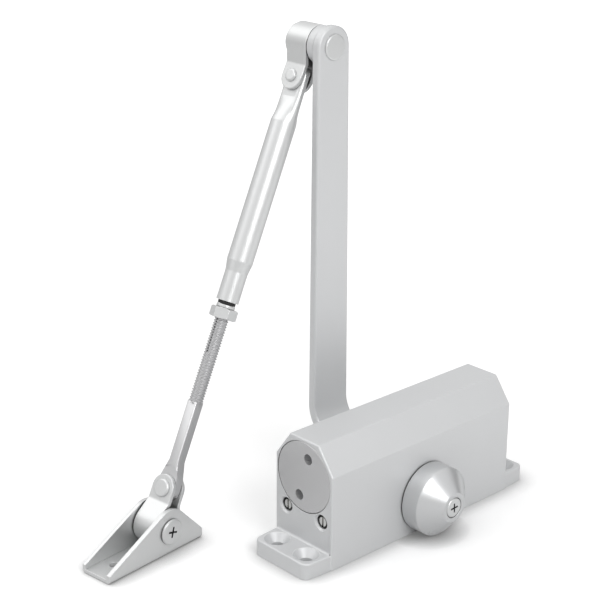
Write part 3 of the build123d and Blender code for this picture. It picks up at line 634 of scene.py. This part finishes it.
def make_cross_screw(name, node, place, shank, length, radius, height, reach):
    """A screw whose head stands on the place's XY plane and has a cross recess."""
    bm = bmesh.new()
    mouth_radius = FACE_SHARE * reach
    corners = [(0, -length), (shank, -length), (shank, 0), (radius, 0), (radius, height)]
    turn_profile(bm, corners + [(mouth_radius, height)], CIRCLE_STEPS, closed=False)
    round_edges(bm, ROUND_SHARE * height)
    rim = [edge for edge in bm.edges if edge.is_boundary]
    # The recess: a cross in the face, drawn down and narrower
    half_arm = ARM_SHARE * reach
    cross = []
    for quarter in range(4):
        quarter_turn = Matrix.Rotation(quarter * pi / 2, 3, "Z")
        for corner in ((reach, -half_arm), (reach, half_arm), (half_arm, half_arm)):
            cross.append(bm.verts.new(quarter_turn @ Vector((*corner, height))))
    mouth = [bm.edges.new((cross[i - 1], cross[i])) for i in range(len(cross))]
    bmesh.ops.triangle_fill(bm, use_beauty=True, edges=rim + mouth)
    outside = set(bm.faces)
    walls = bmesh.ops.extrude_edge_only(bm, edges=mouth)["geom"]
    low_corners = [item for item in walls if isinstance(item, bmesh.types.BMVert)]
    bmesh.ops.scale(bm, vec=(FLOOR_SHARE, FLOOR_SHARE, 1), verts=low_corners)
    bmesh.ops.translate(bm, vec=(0, 0, -DEPTH_SHARE * reach), verts=low_corners)
    bottom = [edge for edge in bm.edges if edge.is_boundary]
    bmesh.ops.edgeloop_fill(bm, edges=bottom)
    # The recess takes the second finish, painted shade
    for face in bm.faces:
        face.material_index = 0 if face in outside else 1
    finish_piece(name, bm, place, node)


# Cap of the spindle: a cone on a rim, hollow, with a socket for the spindle's end
CAP_RIM_RADIUS = 16.5 * MM
CAP_RIM_HEIGHT = 9.2 * MM
CAP_TOP_RADIUS = 7.0 * MM
CAP_INNER_RADIUS = 14.9 * MM
CAP_INNER_RIM = 8.47 * MM
CAP_INNER_TOP = 14.77 * MM
CAP_SCREW_BORE = 2.8 * MM
CAP_RECESS_RADIUS = 4.9 * MM
CAP_RECESS_DEPTH = 2.0 * MM
SOCKET_OUTER = 7.6 * MM
SOCKET_INNER = 6.9 * MM
SOCKET_START = 1.5 * MM
SOCKET_END = 11.4 * MM
CAP_RIM_ROUNDING = 0.7 * MM
CAP_ROUNDING = 0.3 * MM
# Turns of the crosses are in radians
CAP_SCREW_TURN = 0.05
CAP_SCREW_SHANK = 2.4 * MM
CAP_SCREW_RADIUS = 4.8 * MM
CAP_SCREW_HEAD = 2.05 * MM
CAP_CROSS_REACH = 2.3 * MM
spindle = joints["spindle_turn"]["pos_m"]


def make_cap():
    """The hollow cap, from its rim at height 0 to its top."""
    low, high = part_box("pinion_cap")
    length = high.y - low.y
    seat = length - CAP_RECESS_DEPTH
    bm = bmesh.new()
    turn_profile(
        bm,
        [
            (CAP_RECESS_RADIUS, seat),
            (CAP_RECESS_RADIUS, length),
            (CAP_TOP_RADIUS, length),
            (CAP_RIM_RADIUS, CAP_RIM_HEIGHT),
            (CAP_RIM_RADIUS, 0),
            (CAP_INNER_RADIUS, 0),
            (CAP_INNER_RADIUS, CAP_INNER_RIM),
            (SOCKET_OUTER, CAP_INNER_TOP),
            (SOCKET_OUTER, SOCKET_START),
            (SOCKET_INNER, SOCKET_START),
            (SOCKET_INNER, SOCKET_END),
            (CAP_SCREW_BORE, SOCKET_END),
            (CAP_SCREW_BORE, seat),
        ],
    )
    round_edges(bm, CAP_RIM_ROUNDING, below=0.1 * MM)
    round_edges(bm, CAP_ROUNDING)
    place = stand((spindle[0], high.y, spindle[2]), (1, 0, 0), (0, -1, 0))
    finish_piece("turned_cap", bm, place, "pinion_cap")


def make_cap_screw():
    """The screw that holds the cap on the spindle, its cross turned a little."""
    low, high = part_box("cap_screw")
    across = (cos(CAP_SCREW_TURN), 0, sin(CAP_SCREW_TURN))
    make_cross_screw(
        "cap_cross_screw",
        "cap_screw",
        stand((spindle[0], low.y + CAP_SCREW_HEAD, spindle[2]), across, (0, -1, 0)),
        shank=CAP_SCREW_SHANK,
        length=high.y - low.y - CAP_SCREW_HEAD,
        radius=CAP_SCREW_RADIUS,
        height=CAP_SCREW_HEAD,
        reach=CAP_CROSS_REACH,
    )


make_cap()
make_cap_screw()


# Screw of the foot bracket
BRACKET_SCREW_TURN = -0.27
BRACKET_SCREW_SEAT = 8.8 * MM
BRACKET_SCREW_SHANK = 3.0 * MM
BRACKET_SCREW_LENGTH = 22.4 * MM
BRACKET_SCREW_RADIUS = 6.0 * MM
BRACKET_SCREW_HEAD = 1.5 * MM
BRACKET_CROSS_REACH = 2.6 * MM


def make_bracket_screw():
    """The screw through the bracket's crown, its head on the photograph's side."""
    foot = Vector(joints["shoe_turn"]["pos_m"])
    outward = -Vector(joints["shoe_turn"]["axis"])
    level = Vector((-outward.y, outward.x, 0))
    across = Matrix.Rotation(BRACKET_SCREW_TURN, 3, outward) @ level
    make_cross_screw(
        "bracket_cross_screw",
        "bracket_screw",
        stand(foot + outward * BRACKET_SCREW_SEAT, across, outward),
        shank=BRACKET_SCREW_SHANK,
        length=BRACKET_SCREW_LENGTH,
        radius=BRACKET_SCREW_RADIUS,
        height=BRACKET_SCREW_HEAD,
        reach=BRACKET_CROSS_REACH,
    )


make_bracket_screw()


# Adjusting rod
lower_rivet = Vector(joints["lower_knuckle_swing"]["pos_m"])
pivot_way = Vector(joints["lower_knuckle_swing"]["axis"])
rod_way = -Vector(joints["rod_adjustment"]["axis"])
EYE_RADIUS = 5.2 * MM
EYE_HOLE = 2.6 * MM
PAD_HALF = 2.2 * MM
PAD_TOP = 5.6 * MM
SHANK_HALF = 2.75 * MM
SHANK_START = 3.2 * MM
TAPER_START = 5.0 * MM
TAPER_END = 13.0 * MM
THREAD_START = 41.4 * MM
SHOULDER = 0.5 * MM
SHOULDER_SHARE = 0.85
BAR_ROUNDING = 0.8 * MM
# How far the eye's round is drawn out into the bar, and how much lower than the pads it lies
EYE_REACH = 3.8 * MM
EYE_SUNK = 0.01 * MM
# An edge of the bar runs along it when it climbs by more than this share of its length
ALONG_SHARE = 0.8
# The cutter of a pad is this much wider below its round end
PAD_SPREAD = 1.5
THREAD_RIDGES = 70
CREST_RADIUS = 3.35 * MM
THREAD_DEPTH = 0.5 * MM
THREAD_PITCH = 1.25 * MM
# One ridge of the thread, as shares of its pitch and of its depth
THREAD_RIDGE = ((0, 0), (0.15, 0), (0.45, 1), (0.7, 1))
THREAD_STEPS = 64


def cut_away(bm, cutter):
    """The shape that is left when a cutter is taken from it."""
    pair = []
    for name, shape in (("blank", bm), ("cutter", cutter)):
        bmesh.ops.recalc_face_normals(shape, faces=shape.faces)
        mesh = bpy.data.meshes.new(name)
        shape.to_mesh(mesh)
        shape.free()
        pair.append(bpy.data.objects.new(name, mesh))
        bpy.context.scene.collection.objects.link(pair[-1])
    cut = pair[0].modifiers.new("cut", "BOOLEAN")
    cut.operation = "DIFFERENCE"
    cut.object = pair[1]
    graph = bpy.context.evaluated_depsgraph_get()
    mesh = bpy.data.meshes.new_from_object(pair[0].evaluated_get(graph))
    result = bmesh.new()
    result.from_mesh(mesh)
    bpy.data.meshes.remove(mesh)
    for held in pair:
        bpy.data.meshes.remove(held.data)
    return result


def make_shank():
    """The square bar, pressed wide at its foot, with a coined pad on both faces."""
    bm = bmesh.new()
    bmesh.ops.create_cube(bm, size=1)
    foot_size = (2 * SHANK_HALF, 2 * EYE_RADIUS, TAPER_START - SHANK_START)
    bmesh.ops.scale(bm, vec=foot_size, verts=bm.verts)
    bmesh.ops.translate(bm, vec=(0, 0, (TAPER_START + SHANK_START) / 2), verts=bm.verts)
    top = max(bm.faces, key=lambda face: face.calc_center_median().z)
    steps = (
        (TAPER_END, 1, SHANK_HALF / EYE_RADIUS),
        (THREAD_START - SHOULDER, 1, 1),
        (THREAD_START, SHOULDER_SHARE, SHOULDER_SHARE),
    )
    for height, thick, wide in steps:
        top = bmesh.ops.extrude_discrete_faces(bm, faces=[top])["faces"][0]
        rise = height - top.calc_center_median().z
        bmesh.ops.scale(bm, vec=(thick, wide, 1), verts=top.verts)
        bmesh.ops.translate(bm, vec=(0, 0, rise), verts=top.verts)
    # The edges that run along the bar, but not the steep ones of its short shoulder
    long_edges = [
        edge
        for edge in bm.edges
        if abs(edge.verts[0].co.z - edge.verts[1].co.z) > ALONG_SHARE * edge.calc_length()
    ]
    bmesh.ops.bevel(
        bm,
        geom=long_edges,
        offset=BAR_ROUNDING,
        segments=ROUNDING_STEPS,
        profile=0.5,
        affect="EDGES",
        material=-1,
    )
    # The coined pads, sunk into both faces of the bar's foot down to the eye's thickness
    for side in (-1, 1):
        cutter = bmesh.new()
        outline = upright_circle(cutter, EYE_RADIUS, side * PAD_HALF, PAD_TOP)
        for vertex in outline:
            if vertex.co.z < PAD_TOP - MERGE:
                vertex.co.y *= PAD_SPREAD
                vertex.co.z -= 2 * EYE_RADIUS
        fill_and_raise(cutter, loop_edges(outline), (side * SHANK_HALF, 0, 0))
        bm = cut_away(bm, cutter)
    return bm


def make_rod():
    """The rod with its eye, coined pads, square shank and rolled thread."""
    bm = make_shank()
    # Eye round the rivet
    half = PAD_HALF - EYE_SUNK
    outline = upright_circle(bm, EYE_RADIUS, -half, 0)
    for vertex in outline:
        if vertex.co.z > MERGE:
            vertex.co.z += EYE_REACH
    hole = upright_circle(bm, EYE_HOLE, -half, 0)
    fill_and_raise(bm, loop_edges(outline + hole), (2 * half, 0, 0))
    # Thread: a zigzag line turned once while it climbs by one pitch
    line = []
    for ridge in range(THREAD_RIDGES):
        foot_height = THREAD_START + (ridge - 1) * THREAD_PITCH
        for along, down in THREAD_RIDGE:
            radius = CREST_RADIUS - down * THREAD_DEPTH
            line.append(bm.verts.new((radius, 0, foot_height + along * THREAD_PITCH)))
    wire = [bm.edges.new(pair) for pair in zip(line, line[1:])]
    bmesh.ops.spin(
        bm,
        geom=line + wire,
        axis=(0, 0, 1),
        dvec=(0, 0, THREAD_PITCH / THREAD_STEPS),
        angle=2 * pi,
        steps=THREAD_STEPS,
    )
    bmesh.ops.remove_doubles(bm, verts=bm.verts, dist=MERGE)
    bmesh.ops.holes_fill(bm, edges=[edge for edge in bm.edges if edge.is_boundary])
    place = stand(lower_rivet, pivot_way, rod_way)
    finish_piece("rolled_rod", bm, place, "adjusting_rod", THREAD_CREASE)


make_rod()


# Washer face of the lock nut, and a dark ring between nut and tube that is painted shade for the
# gap below the tube's end
upper_rivet = Vector(joints["forearm_swing"]["pos_m"])
# Distances below the upper rivet
TUBE_END = 105.8 * MM
NUT_TOP = 108.9 * MM
RING_BORE = 3.45 * MM
RING_ROUNDING = 0.2 * MM
NUT_FACE_RADIUS = 4.3 * MM
NUT_FACE_LENGTH = 1.5 * MM
SHADE_RING_RADIUS = 4.1 * MM
SHADE_RING_LENGTH = 1.4 * MM
SHADE_RING_DROP = TUBE_END + 1.45 * MM


def add_ring(name, outer, length, drop, body, finish):
    """A rounded ring on the forearm's axis, a distance below its upper rivet."""
    bm = bmesh.new()
    turn_profile(bm, [(RING_BORE, 0), (outer, 0), (outer, length), (RING_BORE, length)])
    round_edges(bm, RING_ROUNDING)
    place = stand(upper_rivet - rod_way * drop, rod_way.orthogonal(), rod_way)
    shape = link_mesh(name, bm, place, [finish], CREASE)
    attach(shape, body)


add_ring(
    "nut_face", NUT_FACE_RADIUS, NUT_FACE_LENGTH, NUT_TOP, "nut", zinc_plated_steel
)
# A dark ring put as painted shade in the gap under the tube's end
add_ring(
    "tube_shade_ring", SHADE_RING_RADIUS, SHADE_RING_LENGTH, SHADE_RING_DROP, "forearm", moulded_rubber
)


# Closing spring, drawn at one length; the real one shortens towards its plug as the piston moves
SPRING_WIRE = 1.3 * MM
SPRING_TURNS = 9
WIRE_SIDES = 14
COIL_STEPS = 48
# The rise of a closed turn, in wire radii
CLOSED_RISE = 2.1


def make_spring():
    """A coil of round wire between the piston's cup and the plug."""
    low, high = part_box("closing_spring")
    middle = (low + high) / 2
    radius = (high.z - low.z) / 2 - SPRING_WIRE
    length = high.x - low.x - 2 * SPRING_WIRE
    bm = bmesh.new()
    place = Matrix.Translation((radius, 0, 0)) @ Matrix.Rotation(pi / 2, 4, "X")
    wire = bmesh.ops.create_circle(
        bm, segments=WIRE_SIDES, radius=SPRING_WIRE, matrix=place
    )["verts"]
    ring = wire + loop_edges(wire)
    # The first and last turns lie close to their neighbours, as on a spring with closed ends
    closed_rise = CLOSED_RISE * SPRING_WIRE
    open_rise = length - 2 * closed_rise
    for turns, rise in ((1, closed_rise), (SPRING_TURNS - 2, open_rise), (1, closed_rise)):
        steps = COIL_STEPS * turns
        ring = bmesh.ops.spin(
            bm,
            geom=ring,
            axis=(0, 0, 1),
            dvec=(0, 0, rise / steps),
            angle=2 * pi * turns,
            steps=steps,
        )["geom_last"]
    bmesh.ops.holes_fill(bm, edges=[edge for edge in bm.edges if edge.is_boundary])
    start = (low.x + SPRING_WIRE, middle.y, middle.z)
    spring = finish_piece(
        "coiled_spring", bm, stand(start, (0, 1, 0), (1, 0, 0)), "closing_spring"
    )
    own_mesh(spring)


make_spring()


# Spacer of the elbow, with a groove beside the arm
SPACER_BORE = 4.05 * MM
SPACER_RADIUS = 8.8 * MM
GROOVE_RADIUS = 8.0 * MM
GROOVE_WIDTH = 0.7 * MM
SPACER_ROUNDING = 0.3 * MM


def make_spacer():
    """The turned spacer between the arm and the upper knuckle."""
    elbow = joints["elbow_turn"]["pos_m"]
    low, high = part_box("elbow_collar")
    length = high.y - low.y
    bm = bmesh.new()
    turn_profile(
        bm,
        [
            (SPACER_BORE, 0),
            (GROOVE_RADIUS, 0),
            (GROOVE_RADIUS, GROOVE_WIDTH),
            (SPACER_RADIUS, GROOVE_WIDTH),
            (SPACER_RADIUS, length),
            (SPACER_BORE, length),
        ],
    )
    round_edges(bm, SPACER_ROUNDING)
    place = stand((elbow[0], low.y, elbow[2]), (-1, 0, 0), (0, 1, 0))
    finish_piece("elbow_spacer", bm, place, "elbow_collar")


make_spacer()


# Floor, world and lamps
# Places in the studio are parts of a direction that is one long, upwards or to the right.
# Its brightness rises from the horizon to overhead.
HORIZON = -0.1
OVERHEAD = 0.8
STUDIO_LOW = 0.8
STUDIO_HIGH = 1.2
# The dark flag: where its left edge and its top edge begin and where it is full
FLAG_DARKNESS = 0.6
FLAG_LEFT = 0.8
FLAG_LEFT_FULL = 0.93
FLAG_TOP = 0.5
FLAG_TOP_FULL = 0.3
# Share of the studio's light that reaches matt surfaces
AMBIENT_SHARE = 0.7
WHITE = "#FFFFFF"


def light_world():
    """White where the camera looks; elsewhere a pale studio with a dark flag on the right."""
    world = bpy.data.worlds.new("studio")
    world.use_nodes = True
    bpy.context.scene.world = world
    tree = world.node_tree
    tree.nodes.clear()
    path = add(tree, "ShaderNodeLightPath")
    way = add(tree, "ShaderNodeTexCoord")
    parts = add(tree, "ShaderNodeSeparateXYZ", None, {"Vector": way.outputs["Generated"]})
    rise = add(
        tree,
        "ShaderNodeMapRange",
        {
            "From Min": HORIZON,
            "From Max": OVERHEAD,
            "To Min": STUDIO_LOW,
            "To Max": STUDIO_HIGH,
        },
        {"Value": parts.outputs["Z"]},
    )
    flag_side = add(
        tree,
        "ShaderNodeMapRange",
        {
            "From Min": FLAG_LEFT,
            "From Max": FLAG_LEFT_FULL,
            "To Min": 0.0,
            "To Max": FLAG_DARKNESS,
        },
        {"Value": parts.outputs["X"]},
    )
    flag_height = add(
        tree,
        "ShaderNodeMapRange",
        {"From Min": FLAG_TOP, "From Max": FLAG_TOP_FULL},
        {"Value": parts.outputs["Z"]},
    )
    flag = add(
        tree,
        "ShaderNodeMath",
        {"operation": "MULTIPLY"},
        {0: flag_side.outputs["Result"], 1: flag_height.outputs["Result"]},
    )
    studio = add(
        tree,
        "ShaderNodeMath",
        {"operation": "SUBTRACT"},
        {0: rise.outputs["Result"], 1: flag.outputs[0]},
    )
    dimmed = add(
        tree,
        "ShaderNodeMath",
        {"operation": "MULTIPLY", 1: AMBIENT_SHARE},
        {0: studio.outputs[0]},
    )
    ambient = add(tree, "ShaderNodeBackground", None, {"Strength": dimmed.outputs[0]})
    seen = add(tree, "ShaderNodeBackground", None, {"Strength": studio.outputs[0]})
    white = add(tree, "ShaderNodeBackground", {"Color": linear(WHITE)})
    mirror = add(
        tree,
        "ShaderNodeMath",
        {"operation": "MAXIMUM"},
        {0: path.outputs["Is Glossy Ray"], 1: path.outputs["Is Transmission Ray"]},
    )
    first = add(
        tree,
        "ShaderNodeMixShader",
        None,
        {0: mirror.outputs[0], 1: ambient.outputs[0], 2: seen.outputs[0]},
    )
    second = add(
        tree,
        "ShaderNodeMixShader",
        None,
        {0: path.outputs["Is Camera Ray"], 1: first.outputs[0], 2: white.outputs[0]},
    )
    add(tree, "ShaderNodeOutputWorld", None, {"Surface": second.outputs[0]})


def spot_on_floor(tree, place, middle, radius, inner, outer):
    """A value on the floor that goes from inner at a middle to outer at a radius."""
    distance = add(
        tree,
        "ShaderNodeVectorMath",
        {"operation": "DISTANCE", 1: middle},
        {0: place},
    )
    return add(
        tree,
        "ShaderNodeMapRange",
        {"From Min": 0.0, "From Max": radius, "To Min": inner, "To Max": outer},
        {"Value": distance.outputs["Value"]},
    ).outputs["Result"]


FLOOR_HALF = 6.0
FLOOR_COLOUR = "#E2E2E2"
SEEN_FLOOR_COLOUR = "#F7F7F7"
# The floor's own brightness for the camera, at the object and at 2 m from it
LIFT_RADIUS = 2.0
LIFT_NEAR = 0.13
LIFT_FAR = 0.95
# A bright card on the floor, which only the object's surfaces see
CARD_PLACE = (0.35, -0.4, 0)
CARD_RADIUS = 0.5
CARD_STRENGTH = 0.7
# How far the contact shadow spreads
CONTACT_REACH = 10 * MM


def lay_floor():
    """A pale floor that keeps the object's shadow, and is white elsewhere for the camera."""
    mesh = bpy.data.meshes.new("floor")
    bm = bmesh.new()
    bmesh.ops.create_grid(bm, x_segments=1, y_segments=1, size=FLOOR_HALF)
    bm.to_mesh(mesh)
    bm.free()
    floor = bpy.data.objects.new("floor", mesh)
    bpy.context.scene.collection.objects.link(floor)
    material, tree, place = start_material("pale_floor")
    path = add(tree, "ShaderNodeLightPath")
    matte = add(tree, "ShaderNodeBsdfDiffuse", {"Color": linear(FLOOR_COLOUR)})
    # The contact shadow, soft and close under the object
    contact = add(
        tree,
        "ShaderNodeAmbientOcclusion",
        {"samples": 8, "Distance": CONTACT_REACH, "Color": linear(SEEN_FLOOR_COLOUR)},
    )
    seen_matte = add(tree, "ShaderNodeBsdfDiffuse", None, {"Color": contact.outputs["Color"]})
    lift = spot_on_floor(tree, place, (0, 0, 0), LIFT_RADIUS, LIFT_NEAR, LIFT_FAR)
    glow = add(tree, "ShaderNodeEmission", None, {"Strength": lift})
    lifted = add(tree, "ShaderNodeAddShader", None, {0: seen_matte.outputs[0], 1: glow.outputs[0]})
    card = spot_on_floor(tree, place, CARD_PLACE, CARD_RADIUS, CARD_STRENGTH, 0.0)
    bounce = add(tree, "ShaderNodeEmission", None, {"Strength": card})
    bright = add(tree, "ShaderNodeAddShader", None, {0: matte.outputs[0], 1: bounce.outputs[0]})
    chosen = add(
        tree,
        "ShaderNodeMixShader",
        None,
        {0: path.outputs["Is Camera Ray"], 1: bright.outputs[0], 2: lifted.outputs[0]},
    )
    add(tree, "ShaderNodeOutputMaterial", None, {"Surface": chosen.outputs[0]})
    mesh.materials.append(material)


LAMP_TARGET = Vector((-0.03, 0.02, 0.1))


def hang_lamp(name, place, size, power):
    """A square soft lamp that looks at the middle of the object."""
    data = bpy.data.lights.new(name, "AREA")
    data.shape = "SQUARE"
    data.size = size
    data.energy = power
    lamp = bpy.data.objects.new(name, data)
    bpy.context.scene.collection.objects.link(lamp)
    lamp.location = place
    lamp.rotation_euler = (LAMP_TARGET - Vector(place)).to_track_quat("-Z", "Y").to_euler()


light_world()
lay_floor()
hang_lamp("key", (-0.5, 0.6, 1.3), size=1.6, power=7.2)
hang_lamp("front_box", (-0.2, -0.75, 0.6), size=0.5, power=3.2)
hang_lamp("left_fill", (-1.0, 0.2, 0.5), size=0.8, power=0.5)
bpy.context.scene.view_settings.view_transform = "Standard"
